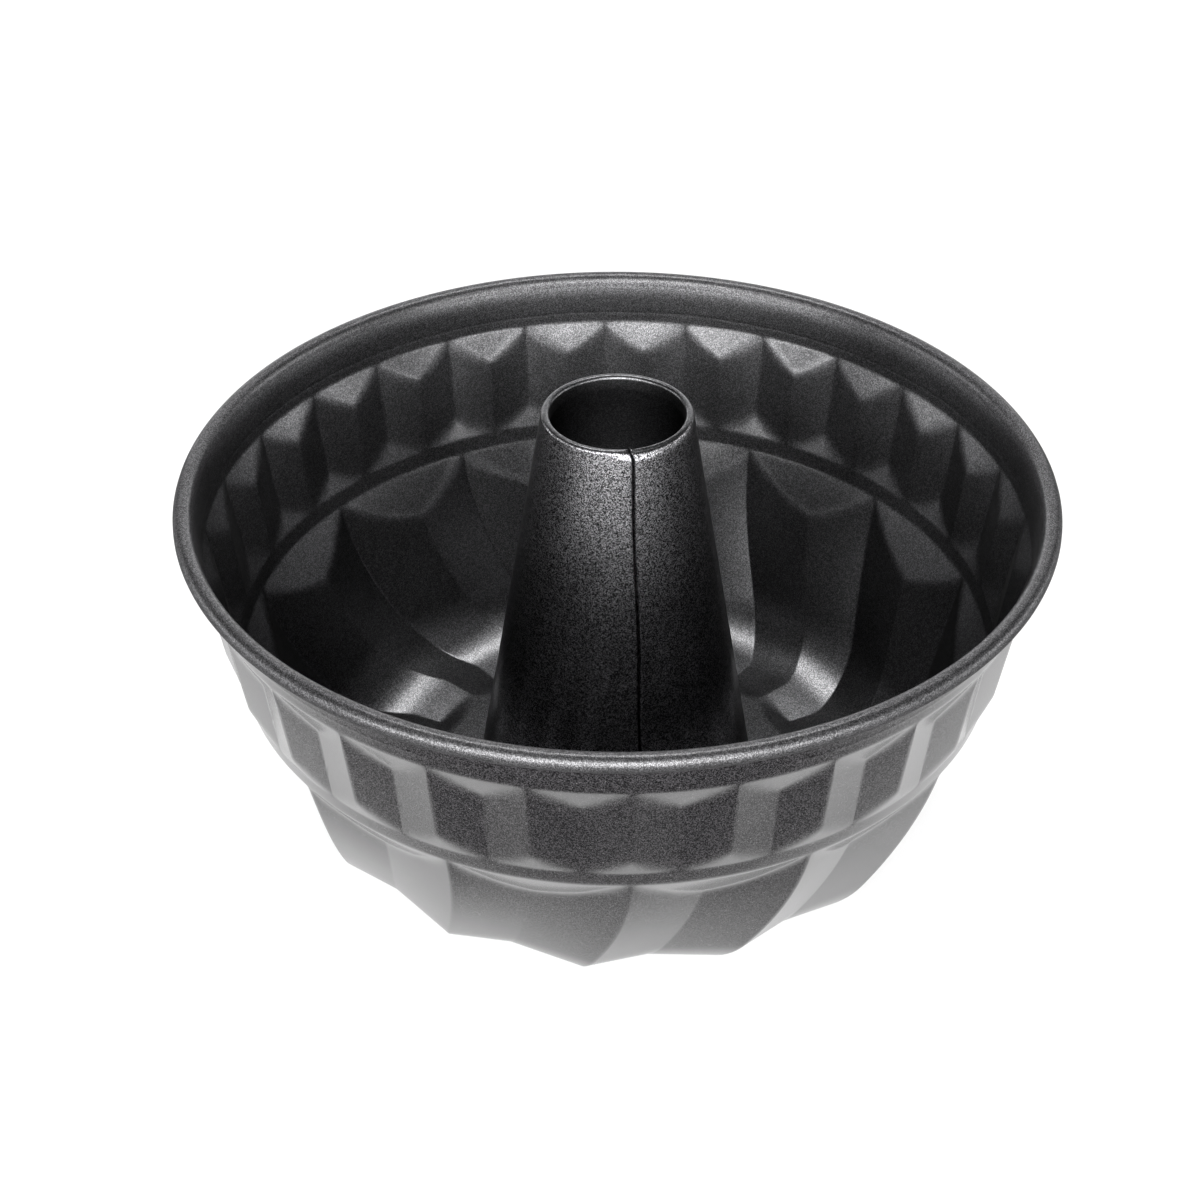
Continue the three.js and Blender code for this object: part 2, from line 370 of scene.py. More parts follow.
class CoatingEffects:
    """Shader groups that the coatings share."""

    def __init__(self) -> None:
        """Builds each group once."""
        self.fleck = self._fleck()
        self.clouds = self._clouds()
        self.side = self._side()

    @staticmethod
    def _fleck() -> bpy.types.NodeTree:
        """Fine metal flakes in a coat.

        Returns:
            A group with a tone for each flake, and a mask of the rare bright ones.
        """
        sheet = new_group("metal_fleck", ["Vector"], ["Scale", "Share"], ["Tone", "Spark"])
        into = sheet.add("NodeGroupInput").outputs
        places = {"Vector": into["Vector"], "Scale": into["Scale"]}
        cells = sheet.add("TexVoronoi", places, feature="F1").outputs
        draw = sheet.add("SeparateColor", {0: cells["Color"]}).outputs
        chosen = sheet.math("LESS_THAN", draw[0], into["Share"])
        dot = sheet.span(cells["Distance"], SPARK_FADE, (1.0, 0.0))
        spark = sheet.math("MULTIPLY", chosen, dot)
        tone = sheet.math("POWER", draw[1], FLAKE_SKEW)
        sheet.add("NodeGroupOutput", {"Tone": tone, "Spark": spark})
        return sheet.tree

    @staticmethod
    def _side() -> bpy.types.NodeTree:
        """Sides of a coated sheet.

        Returns:
            A group with masks of the outer side and of a rolled rim, which is apart from both sides.
        """
        numbers = ["Rim Radius", "Rim Height", "Bead Radius"]
        sheet = new_group("outer_side", ["Vector", "Normal"], numbers, ["Outer", "Bead"])
        into = sheet.add("NodeGroupInput").outputs
        level = sheet.vector("MULTIPLY", {0: into["Vector"], 1: (1.0, 1.0, 0.0)})[0]
        spoke = sheet.vector("NORMALIZE", {0: level})[0]
        away = sheet.vector("SUBTRACT", {0: spoke, 1: (0.0, 0.0, 1.0)})[0]
        lean = sheet.vector("DOT_PRODUCT", {0: away, 1: into["Normal"]})["Value"]
        ring = sheet.vector("SCALE", {0: spoke, "Scale": into["Rim Radius"]})[0]
        lift = sheet.add("CombineXYZ", {2: into["Rim Height"]}).outputs[0]
        centre = sheet.vector("ADD", {0: ring, 1: lift})[0]
        gap = sheet.vector("DISTANCE", {0: centre, 1: into["Vector"]})["Value"]
        bead = sheet.math("LESS_THAN", gap, into["Bead Radius"])
        off_bead = sheet.math("SUBTRACT", lean, sheet.math("MULTIPLY", bead, MOST_LEAN))
        outer = sheet.math("GREATER_THAN", off_bead, 0.0)
        sheet.add("NodeGroupOutput", {"Outer": outer, "Bead": bead})
        return sheet.tree

    @staticmethod
    def _clouds() -> bpy.types.NodeTree:
        """Unevenness of a sprayed coat.

        Returns:
            A group with slow changes of gloss, and the fine peel of the surface.
        """
        sheet = new_group("sprayed_coat", ["Vector"], ["Scale", "Peel Scale"], ["Cloud", "Peel"])
        into = sheet.add("NodeGroupInput").outputs
        place = {"Vector": into["Vector"]}
        coarse = place | {"Scale": into["Scale"], "Detail": CLOUD_DETAIL, "Roughness": CLOUD_GRAIN}
        slow = sheet.add("TexNoise", coarse).outputs[0]
        fine = sheet.add("TexNoise", place | {"Scale": into["Peel Scale"], "Detail": FINE_DETAIL}).outputs[0]
        cloud = sheet.span(slow, NOISE_RANGE, (-1.0, 1.0))
        sheet.add("NodeGroupOutput", {"Cloud": cloud, "Peel": fine})
        return sheet.tree


@dataclass(frozen=True)
class Bead:
    """Rolled rim as a ring: radius and height of its centre line, and its thickness."""

    rim_radius: float
    rim_height: float
    thickness: float

    def sockets(self) -> dict[str, float]:
        """Inputs for the group of a sheet's sides.

        Returns:
            The ring's sizes in metres, by the names of the sockets.
        """
        reach = self.thickness / 2.0 + BEAD_MARGIN
        sizes = {"Rim Radius": self.rim_radius, "Rim Height": self.rim_height, "Bead Radius": reach}
        return {name: size * MM for name, size in sizes.items()}


@dataclass(frozen=True)
class CoatingFinish:
    """Dark non-stick coat with fine metal flakes and a gloss that is strongest at a low angle."""

    name: str
    inner_flakes: tuple[Colour, Colour]  # dullest and brightest flake on the side of the axis
    outer_flakes: tuple[Colour, Colour]  # and on the outer side
    spark: Colour
    flake_size: float  # millimetres from flake to flake
    spark_share: float  # share of the flakes that sparkle
    roughness: float
    roughness_spread: float
    outer_roughness: float  # how much rougher the outer side is
    peel_size: float  # millimetres
    peel_height: float  # millimetres
    inner_clear: float  # weight of the clear layer on the inner side
    outer_clear: float  # and on the outer side, seen at a low angle
    clear_roughness: float
    clear_ior: float

    def colour(self, sheet: NodeSheet, fleck: Sockets, side: Sockets) -> bpy.types.NodeSocket:
        """Colour of the flakes.

        Args:
            sheet: The material's nodes.
            fleck: Outputs of the flakes' group.
            side: Outputs of the group of the sheet's sides.

        Returns:
            The socket of the colour.
        """
        both = (self.inner_flakes, self.outer_flakes)
        inner, outer = (sheet.blend(fleck["Tone"], *flakes) for flakes in both)
        worn = sheet.math("MULTIPLY", side["Bead"], BEAD_WEAR)
        coat = sheet.blend(sheet.math("ADD", side["Outer"], worn), inner, outer)
        spark = sheet.math("MULTIPLY", fleck["Spark"], side["Outer"])
        return sheet.blend(spark, coat, self.spark)

    def rough(self, sheet: NodeSheet, cloud: bpy.types.NodeSocket, side: Sockets) -> bpy.types.NodeSocket:
        """Roughness of the flakes' layer.

        Args:
            sheet: The material's nodes.
            cloud: Socket of the slow changes of gloss.
            side: Outputs of the group of the sheet's sides.

        Returns:
            The socket of the roughness.
        """
        swing = sheet.math("MULTIPLY", cloud, self.roughness_spread)
        total = sheet.math("ADD", swing, self.roughness)
        for mask, rise in ((side["Bead"], BEAD_ROUGHNESS), (side["Outer"], self.outer_roughness)):
            total = sheet.math("ADD", total, sheet.math("MULTIPLY", mask, rise))
        return total

    def clear(self, sheet: NodeSheet, outer: bpy.types.NodeSocket) -> bpy.types.NodeSocket:
        """Weight of the clear layer, which comes in at a low angle on the outer side.

        Args:
            sheet: The material's nodes.
            outer: Socket of the outer side's mask.

        Returns:
            The socket of the weight.
        """
        facing = sheet.add("LayerWeight", {"Blend": PLAIN_FACING}).outputs["Facing"]
        new_ends = (0.0, self.outer_clear)
        grazing = sheet.span(facing, CLEAR_RANGE, new_ends, interpolation_type="SMOOTHSTEP")
        return sheet.between(outer, self.inner_clear, grazing)

    def material(self, effects: CoatingEffects, bead: Bead | None = None) -> bpy.types.Material:
        """Builds the coat's material.

        Args:
            effects: The shared shader groups.
            bead: The rolled rim, if there is one.

        Returns:
            The new material.
        """
        made, sheet = NodeSheet.of_material(self.name)
        place = sheet.add("TexCoord").outputs
        vector = {"Vector": place["Object"]}
        flakes = vector | {"Scale": 1.0 / (self.flake_size * MM), "Share": self.spark_share}
        spray = vector | {"Scale": 1.0 / (CLOUD_SIZE * MM), "Peel Scale": 1.0 / (self.peel_size * MM)}
        sides = vector | {"Normal": place["Normal"]} | (bead.sockets() if bead else {})
        fleck = sheet.add("Group", flakes, node_tree=effects.fleck).outputs
        clouds = sheet.add("Group", spray, node_tree=effects.clouds).outputs
        side = sheet.add("Group", sides, node_tree=effects.side).outputs
        relief = {"Height": clouds["Peel"], "Distance": self.peel_height * MM, "Strength": 1.0}
        shader = sheet.add(
            "BsdfPrincipled",
            {
                "Base Color": self.colour(sheet, fleck, side),
                "Roughness": self.rough(sheet, clouds["Cloud"], side),
                "Metallic": 1.0,
                "Specular Tint": grey(EDGE_TINT),
                "Normal": sheet.add("Bump", relief).outputs["Normal"],
                "Coat Weight": self.clear(sheet, side["Outer"]),
                "Coat Roughness": self.clear_roughness,
                "Coat IOR": self.clear_ior,
            },
        )
        sheet.add("OutputMaterial", {"Surface": shader.outputs[0]})
        return made


@dataclass(frozen=True)
class DrawnSteelFinish:
    """Plain drawn wire, with fine lines along it."""

    name: str
    base: Colour
    roughness: float
    line_size: float  # millimetres between drawing lines
    line_tone: float  # tone of the lines, as a share of the steel's
    line_roughness: float  # how much rougher they are

    def material(self) -> bpy.types.Material:
        """Builds the wire's material; its lines run round the mould's axis.

        Returns:
            The new material.
        """
        made, sheet = NodeSheet.of_material(self.name)
        place = sheet.add("SeparateXYZ", {0: sheet.add("TexCoord").outputs["Object"]}).outputs
        squares = [sheet.math("MULTIPLY", place[axis], place[axis]) for axis in (0, 1)]
        radius = sheet.math("SQRT", sheet.math("ADD", *squares))
        section = sheet.add("CombineXYZ", {0: radius, 1: place[2]}).outputs[0]
        scale = 1.0 / (self.line_size * MM)
        lines = sheet.add("TexNoise", {"Vector": section, "Scale": scale, "Detail": FINE_DETAIL}).outputs[0]
        shade = sheet.span(lines, NOISE_RANGE, (0.0, 1.0))
        darker = tuple(self.line_tone * part for part in self.base)
        shader = sheet.add(
            "BsdfPrincipled",
            {
                "Base Color": sheet.blend(shade, darker, self.base),
                "Roughness": sheet.span(
                    shade, (0.0, 1.0), (self.roughness + self.line_roughness, self.roughness)
                ),
                "Metallic": 1.0,
            },
        )
        sheet.add("OutputMaterial", {"Surface": shader.outputs[0]})
        return made


class Band(Enum):
    """Bands of the pressed shell, from the hole in its floor up to the rolled rim."""

    FLOOR = "floor"
    FLUTES = "flutes"
    RING = "ring"
    FACETS = "facets"
    COLLAR = "collar"
    BEAD = "bead"


@dataclass(frozen=True)
class Row:
    """One ring of points of the shell.

    The place is a radius on the floor, a length down from the ring on the flutes, a height on the
    ring, the facets and the collar, and an angle in degrees round the bead.
    """

    band: Band
    place: float


@dataclass(frozen=True)
class CrestPoint:
    """Point of a crest line, with the lean of the wall there in radians."""

    radius: float
    height: float
    lean: float

    def inset(self, depth: float) -> "CrestPoint":
        """Point at a depth under this one, square to the wall."""
        radius = self.radius - depth * math.cos(self.lean)
        return CrestPoint(radius, self.height + depth * math.sin(self.lean), self.lean)


class SheetPiece:
    """Piece made of one thin sheet: a section that is spun about the axis and then formed."""

    name: str
    node: str
    slot: str
    sheet: float

    def finished(self, mesh: bmesh.types.BMesh, rank: bmesh.types.BMLayerItem) -> bpy.types.Object:
        """Gives the formed sheet its thickness and makes an object of it.

        Args:
            mesh: The formed sheet, one face thick.
            rank: Layer with each point's rank in the section; the faces of the first two ranks
                look upwards before the sheet is thickened.

        Returns:
            The new object, linked to the scene.
        """
        merge_and_turn(mesh)
        first_ranks = {0, 1}
        probe = next(face for face in mesh.faces if first_ranks.issuperset(v[rank] for v in face.verts))
        if probe.normal.z < 0.0:
            bmesh.ops.reverse_faces(mesh, faces=mesh.faces[:])
        bmesh.ops.solidify(mesh, geom=mesh.faces[:], thickness=self.sheet * MM)
        for edge in mesh.edges:
            edge.smooth = edge.calc_face_angle(0.0) < math.radians(SHARP_ANGLE)
        return linked_object(mesh, self.name)

    def place(self, made: bpy.types.Object, material: bpy.types.Material) -> None:
        """Dresses the object and lets it stand for its node of the frame.

        Args:
            made: The piece's object.
            material: Its coating.
        """
        made.data.materials.append(material)
        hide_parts(self.node)
        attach(made, BODY)
        LOG.info("%s: %d faces", made.name, len(made.data.polygons))


@dataclass
class MouldShell(SheetPiece):
    """Pressed shell with collar, facets, ring, swirled flutes, floor and rolled rim."""

    rim_radius: float
    body_height: float
    name: str = "pressed_shell"
    node: str = "mould_shell"
    slot: str = "shell_coating"
    sheet: float = 0.55
    bead_radius: float = 2.45
    curl_end: float = 130.0  # degrees below the bead's outer middle at which the curl's lip lies
    collar_depth: float = 11.85
    collar_draft: float = 7.2  # over the whole collar
    collar_foot_draft: float = 4.4  # where it leaves the facets
    flare_draft: float = 18.0  # where it meets the bead
    bead_start: float = 10.6  # degrees above the bead's middle at which the flare ends
    facet_height: float = 24.6
    facet_draft: float = 9.0
    facet_depth: float = 2.7
    facet_top_ledge: float = 8.2
    facet_foot_ledge: float = 6.35
    facet_foot_step: float = 2.9
    facet_edge: float = 1.0  # rounding of the crests and roots
    facet_end_edge: float = 3.0  # and at their upper and lower ends
    facet_end_reach: float = 7.0
    crest_flat: float = 1.2  # half the width of the flat on a crest's upper end
    root_flat: float = 2.2  # half the width of the flat in a root's lower end
    facet_blend: float = 0.46  # rounding of the ledges' edges, as a depth
    ring_height: float = 4.35
    ring_draft: float = 11.7
    flute_count: int = 14
    facets_per_flute: int = 2
    flute_top_draft: float = 12.6
    flute_foot_draft: float = 26.5
    turn_radius: float = 23.0
    flute_ledge: float = 13.0
    flute_top_depth: float = 4.8
    flute_floor_depth: float = 2.5
    flute_swirl: float = 14.2  # degrees from the ring to the floor
    root_shift: float = 1.05  # degrees that the roots lie off the middle between two crests
    flute_edge: float = 2.0  # rounding of the flutes below the ring
    flute_floor_edge: float = 6.0  # and on the floor
    flute_blend: float = 0.65  # rounding of the ledges' and scoops' edges, as a depth
    crest_floor_run: float = 9.3  # length of a crest on the floor
    crest_end_run: float = 6.0  # length over which it ends
    floor_ring_width: float = 11.8
    columns_per_flute: int = 28
    gather: float = 0.5  # how far the columns draw together at the edges, from 0 to 1
    seam_margin: float = 0.4  # rounding of the lines between two bands
    scoop_margin: float = 2.0  # the rows of the scoops start this far inside them
    crest_margin: float = 1.5  # and end this far outside the crests' ends
    ledge_margin: float = 1.0  # the rows of a ledge reach this far past it
    crease_rise: float = 3.0  # faint line that the press leaves in the collar
    crease_depth: float = 0.04
    crease_width: float = 0.4

    @classmethod
    def from_frame(cls) -> "MouldShell":
        """Shell that takes its rim and its height from the frame's node."""
        low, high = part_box("mould_shell")
        return cls(rim_radius=-low.y / MM, body_height=high.z / MM)

    @cached_property
    def rim_centre(self) -> Pair:
        """Radius and height of the wire inside the bead."""
        return self.rim_radius - self.bead_radius, self.body_height - self.bead_radius

    @property
    def bead(self) -> Bead:
        """The rolled rim."""
        return Bead(*self.rim_centre, 2.0 * self.bead_radius)

    @cached_property
    def facet_top(self) -> Pair:
        """Where the collar meets the facets.

        Returns:
            Radius and height.
        """
        radius, height = self.rim_centre
        inwards = self.bead_radius + drop(self.collar_depth, self.collar_draft)
        return radius - inwards, height - self.collar_depth

    @cached_property
    def facet_foot_height(self) -> float:
        """Height at which the crests of the facets end."""
        return self.facet_top[1] - self.facet_height

    @cached_property
    def ring_top(self) -> Pair:
        """Radius and height of the upper edge of the plain ring."""
        foot = self.facet_foot_height
        return self.facet_crest(foot) - self.facet_foot_step, foot - self.facet_foot_ledge

    @cached_property
    def ring_foot(self) -> Pair:
        """Radius and height of the lower edge of the plain ring."""
        radius, height = self.ring_top
        return radius - drop(self.ring_height, self.ring_draft), height - self.ring_height

    @cached_property
    def pitch(self) -> float:
        """Angle from one flute's crest to the next, in radians."""
        return math.tau / self.flute_count

    @cached_property
    def wall_arc(self) -> Pair:
        """Long arc of a flute's crest, between the ring and the turn on to the floor.

        Returns:
            Its radius and its length.
        """
        top = math.radians(self.flute_top_draft)
        foot = math.radians(self.flute_foot_draft)
        turn_height = self.turn_radius * (1.0 - math.sin(foot))
        radius = (self.ring_foot[1] - self.sheet - turn_height) / (math.sin(foot) - math.sin(top))
        return radius, radius * (foot - top)

    @cached_property
    def flute_length(self) -> float:
        """Length of a flute's crest from the ring to the floor."""
        turn = math.pi / 2.0 - math.radians(self.flute_foot_draft)
        return self.wall_arc[1] + self.turn_radius * turn

    @cached_property
    def floor_radii(self) -> tuple[float, float, float, float]:
        """Radii on the floor.

        Returns:
            The end of the turn, the ends of the crests, the flat ring and the hole.
        """
        turn_end = self.flute_crest(self.flute_length).radius
        crest_end = turn_end - self.crest_floor_run
        ring = crest_end - self.crest_end_run
        return turn_end, crest_end, ring, ring - self.floor_ring_width

    @cached_property
    def collar_end(self) -> Pair:
        """Radius and height at which the collar's flare meets the bead."""
        point = self.bead_point(180.0 - self.bead_start, 0.0)
        return point.xy.length, point.z

    @cached_property
    def flare_turn(self) -> float:
        """How much more the flare leads outwards at its top than at its foot, for each millimetre."""
        return drop(1.0, self.flare_draft) - drop(1.0, self.collar_foot_draft)

    @cached_property
    def flare_height(self) -> float:
        """Height of the collar's flared upper part.

        Returns:
            The height with which the flare ends on the bead.
        """
        rise = self.collar_end[1] - self.facet_top[1]
        widening = self.collar_end[0] - self.facet_top[0] - drop(rise, self.collar_foot_draft)
        return 2.0 * widening / self.flare_turn

    def facet_crest(self, height: float) -> float:
        """Radius of the facets' crests at a height."""
        return self.facet_top[0] - drop(self.facet_top[1] - height, self.facet_draft)

    def flute_crest(self, length: float) -> CrestPoint:
        """Crest of a flute, a long arc and then the turn on to the floor.

        Args:
            length: Length down from the ring.

        Returns:
            The crest's point there.
        """
        arc_radius, arc_length = self.wall_arc
        top = math.radians(self.flute_top_draft)
        lean = top + min(length, arc_length) / arc_radius
        radius = self.ring_foot[0] - arc_radius * (math.cos(top) - math.cos(lean))
        height = self.ring_foot[1] - arc_radius * (math.sin(lean) - math.sin(top))
        if length <= arc_length:
            return CrestPoint(radius, height, lean)
        turn = lean + (length - arc_length) / self.turn_radius
        return CrestPoint(
            radius - self.turn_radius * (math.cos(lean) - math.cos(turn)),
            height - self.turn_radius * (math.sin(turn) - math.sin(lean)),
            turn,
        )

    def below_ledge(self, length: float) -> float:
        """Share of the way from the flutes' ledge to the floor, below 0 on the ledge."""
        return (length - self.flute_ledge) / (self.flute_length - self.flute_ledge)

    def edge_at(self, length: float) -> float:
        """Rounding of the flutes' crests at a length down from the ring."""
        return lerp(self.flute_edge, self.flute_floor_edge, max(self.below_ledge(length), 0.0))

    def swirl(self, length: float) -> float:
        """Angle in radians that a flute has turned at a length down from the ring."""
        return -math.radians(self.flute_swirl) * (length / self.flute_length) ** 2

    @staticmethod
    def across(angle: float, pitch: float) -> tuple[float, float, float]:
        """Where an angle lies between a crest and the roots beside it.

        Args:
            angle: Angle round the mould, in radians.
            pitch: Angle from crest to crest, in radians.

        Returns:
            The angle of the nearest crest, the share of the way to the root, and the side.
        """
        crest = round(angle / pitch) * pitch
        return crest, abs(angle - crest) / (pitch / 2.0), math.copysign(1.0, angle - crest)

    def facet_point(self, height: float, angle: float) -> Vector:
        """Point of the facet band.

        Args:
            height: Height of the point.
            angle: Angle round the mould, in radians.

        Returns:
            The point, on a panel or on one of the ledges at its ends.
        """
        pitch = self.pitch / self.facets_per_flute
        top_height = self.facet_top[1]
        crest_radius = self.facet_crest(height)
        root_top = top_height - self.facet_top_ledge
        root_share = (height - self.ring_top[1]) / (root_top - self.ring_top[1])
        root_radius = lerp(self.ring_top[0], self.facet_crest(root_top) - self.facet_depth, root_share)
        crest, share, side = self.across(angle, pitch)
        near_top = max(1.0 - (top_height - height) / self.facet_end_reach, 0.0)
        near_foot = max(1.0 - max(height - self.facet_foot_height, 0.0) / self.facet_end_reach, 0.0)
        edge = lerp(self.facet_edge, self.facet_end_edge, max(near_top, near_foot))
        half_width = crest_radius * pitch / 2.0
        crest_flat = self.crest_flat * near_top / half_width
        root_flat = self.root_flat * near_foot / half_width
        share = min(max(share - crest_flat, 0.0) / (1.0 - crest_flat - root_flat), 1.0)
        eased = eased_share(share, edge / half_width)
        on_root = polar(root_radius, crest + side * pitch / 2.0, height)
        point = polar(crest_radius, crest, height).lerp(on_root, eased)

        depth = crest_radius - point.xy.length
        top_ledge = self.facet_depth * (top_height - height) / self.facet_top_ledge
        full_foot = self.facet_crest(self.ring_top[1]) - self.ring_top[0]
        foot_ledge = full_foot * (self.facet_foot_height - height) / self.facet_foot_ledge
        wanted = rounded_least(depth, top_ledge, min(self.facet_blend, top_ledge))
        wanted = rounded_most(wanted, foot_ledge, min(self.facet_blend, height - self.ring_top[1]))
        return point - (wanted - depth) * point.xy.normalized().to_3d()

    def flute_point(self, length: float, angle: float) -> Vector:
        """Point of the flute band.

        Args:
            length: Length down from the ring, along a crest.
            angle: Angle round the mould in radians, before the swirl.

        Returns:
            The point, on a panel or on the ledge at its top.
        """
        crest_line = self.flute_crest(length)
        depth_here = lerp(self.flute_top_depth, self.flute_floor_depth, self.below_ledge(length))
        root_line = crest_line.inset(depth_here)
        shift = math.radians(self.root_shift) * min(length / self.flute_ledge, 1.0)
        crest, share, side = self.across(angle, self.pitch)
        crest_angle = crest + self.swirl(length)
        root_angle = crest_angle + side * self.pitch / 2.0 - shift
        eased = eased_share(share, self.edge_at(length) / (crest_line.radius * self.pitch / 2.0))
        on_root = polar(root_line.radius, root_angle, root_line.height)
        point = polar(crest_line.radius, crest_angle, crest_line.height).lerp(on_root, eased)

        inwards = crest_line.radius - point.xy.length
        rise = point.z - crest_line.height
        depth = inwards * math.cos(crest_line.lean) + rise * math.sin(crest_line.lean)
        ledge = self.flute_top_depth * length / self.flute_ledge
        wanted = rounded_least(depth, ledge, min(self.flute_blend, ledge))
        step = (wanted - depth) * math.cos(crest_line.lean)
        point -= step * point.xy.normalized().to_3d()
        point.z += (wanted - depth) * math.sin(crest_line.lean)
        return point

    def floor_point(self, radius: float, angle: float) -> Vector:
        """Point of the floor, where the crests end in rounded scoops.

        Args:
            radius: Radius of the point.
            angle: Angle round the mould in radians, before the swirl.

        Returns:
            The point.
        """
        turn_end, crest_end = self.floor_radii[:2]
        crest, share, side = self.across(angle, self.pitch)
        eased = eased_share(share, self.flute_floor_edge / (radius * self.pitch / 2.0))
        crest_angle = crest + self.swirl(self.flute_length)
        root_angle = crest_angle + side * self.pitch / 2.0 - math.radians(self.root_shift)
        past_end = max(crest_end - radius, 0.0) / self.crest_end_run
        depth = self.flute_floor_depth * math.hypot(eased, past_end)
        blend = self.flute_blend * min((turn_end - radius) / self.crest_floor_run, 1.0)
        rise = rounded_least(depth, self.flute_floor_depth, blend)
        return polar(radius, lerp(crest_angle, root_angle, eased), self.sheet + rise)

    def collar_point(self, height: float, angle: float) -> Vector:
        """Point of the collar, with its flared top and the faint crease that runs round it.

        Args:
            height: Height of the point.
            angle: Angle round the mould, in radians.

        Returns:
            The point.
        """
        lift = height - self.facet_top[1]
        crease = self.crease_depth * math.exp(-(((lift - self.crease_rise) / self.crease_width) ** 2))
        up = max(height - self.collar_end[1] + self.flare_height, 0.0)
        flare = self.flare_turn * up * up / (2.0 * self.flare_height)
        return polar(self.facet_top[0] + drop(lift, self.collar_foot_draft) + flare + crease, angle, height)

    def bead_point(self, degrees: float, angle: float) -> Vector:
        """Point of the rolled rim.

        Args:
            degrees: Angle round the wire, 0 outwards and 90 at the top.
            angle: Angle round the mould, in radians.

        Returns:
            The point.
        """
        radius, height = self.rim_centre
        turn = math.radians(degrees)
        out = self.bead_radius * math.cos(turn)
        return polar(radius + out, angle, height + self.bead_radius * math.sin(turn))

    def point(self, row: Row, angle: float) -> Vector:
        """Point of the shell's inner face, in millimetres.

        Args:
            row: Ring of the shell.
            angle: Angle round the mould in radians, before the flutes' swirl.

        Returns:
            The point.
        """
        match row.band:
            case Band.FLOOR:
                return self.floor_point(row.place, angle)
            case Band.FLUTES:
                return self.flute_point(row.place, angle)
            case Band.RING:
                lift = row.place - self.ring_foot[1]
                return polar(self.ring_foot[0] + drop(lift, self.ring_draft), angle, row.place)
            case Band.FACETS:
                return self.facet_point(row.place, angle)
            case Band.COLLAR:
                return self.collar_point(row.place, angle)
            case Band.BEAD:
                return self.bead_point(row.place, angle)

    def rows(self) -> list[Row]:
        """Rings of the shell, closest where the shape turns.

        Returns:
            The rings from the hole to the lip of the curl.
        """
        turn_end, crest_end, ring, hole = self.floor_radii
        ring_foot, ring_top, facet_top = self.ring_foot[1], self.ring_top[1], self.facet_top[1]
        near = self.seam_margin
        scoops = [ring - self.scoop_margin, crest_end + self.crest_margin]
        flute_ledge = self.flute_ledge + self.ledge_margin
        facet_low = self.facet_foot_height + self.ledge_margin
        facet_high = facet_top - self.facet_top_ledge - self.ledge_margin
        crease = facet_top + self.crease_rise
        crease_reach = 2.0 * self.crease_width
        crease_ends = [crease - crease_reach, crease + crease_reach]
        # Places between which the rows of a band are evenly spaced, and how many rows lie there
        stretches = [
            (Band.FLOOR, [hole, *scoops, turn_end], [3, 13, 4]),
            (Band.FLUTES, [self.flute_length, self.wall_arc[1], flute_ledge, near, 0.0], [15, 12, 13, 1]),
            (Band.RING, [ring_foot, ring_foot + near, ring_top - near, ring_top], [1, 3, 1]),
            (
                Band.FACETS,
                [ring_top, ring_top + near, facet_low, facet_high, facet_top - near, facet_top],
                [1, 8, 7, 9, 1],
            ),
            (Band.COLLAR, [facet_top, facet_top + near, *crease_ends, self.collar_end[1]], [1, 2, 6, 6]),
            (Band.BEAD, [180.0 - self.bead_start, -self.curl_end], [17]),
        ]
        rows = [
            Row(band, lerp(start, end, step / count))
            for band, places, counts in stretches
            for start, end, count in zip(places, places[1:], counts)
            for step in range(count)
        ]
        return rows + [Row(Band.BEAD, -self.curl_end)]

    def gathered(self, angle: float) -> float:
        """Angle of a column, drawn towards the nearest crest or root of the facets."""
        beat = 2 * self.flute_count * self.facets_per_flute
        return angle - self.gather / beat * math.sin(beat * angle)

    def build(self, material: bpy.types.Material) -> None:
        """Models the shell and lets it stand for its node.

        Args:
            material: The shell's coating.
        """
        rows = self.rows()
        plain = [self.point(row, 0.0) for row in rows]
        section = [(point.xy.length, point.z) for point in plain]
        mesh, rank = spun(section, self.flute_count * self.columns_per_flute)
        for vertex in mesh.verts:
            angle = math.atan2(vertex.co.x, -vertex.co.y)
            vertex.co = self.point(rows[vertex[rank]], self.gathered(angle)) * MM
        self.soften_seams(mesh, rank, rows)
        self.place(self.finished(mesh, rank), material)

    @staticmethod
    def soften_seams(mesh: bmesh.types.BMesh, rank: bmesh.types.BMLayerItem, rows: list[Row]) -> None:
        """Rounds the lines where one band meets the next.

        Args:
            mesh: The formed sheet, one face thick.
            rank: Layer with the number of each point's row.
            rows: The sheet's rows.
        """
        starts = [n for n in range(1, len(rows)) if rows[n].band is not rows[n - 1].band]
        near = {start + offset for start in starts for offset in (-1, 0, 1)}
        verts = [vertex for vertex in mesh.verts if vertex[rank] in near]
        axes = {"use_axis_x": True, "use_axis_y": True, "use_axis_z": True}
        for _ in range(SEAM_PASSES):
            bmesh.ops.smooth_vert(mesh, verts=verts, factor=SEAM_SMOOTHING, **axes)


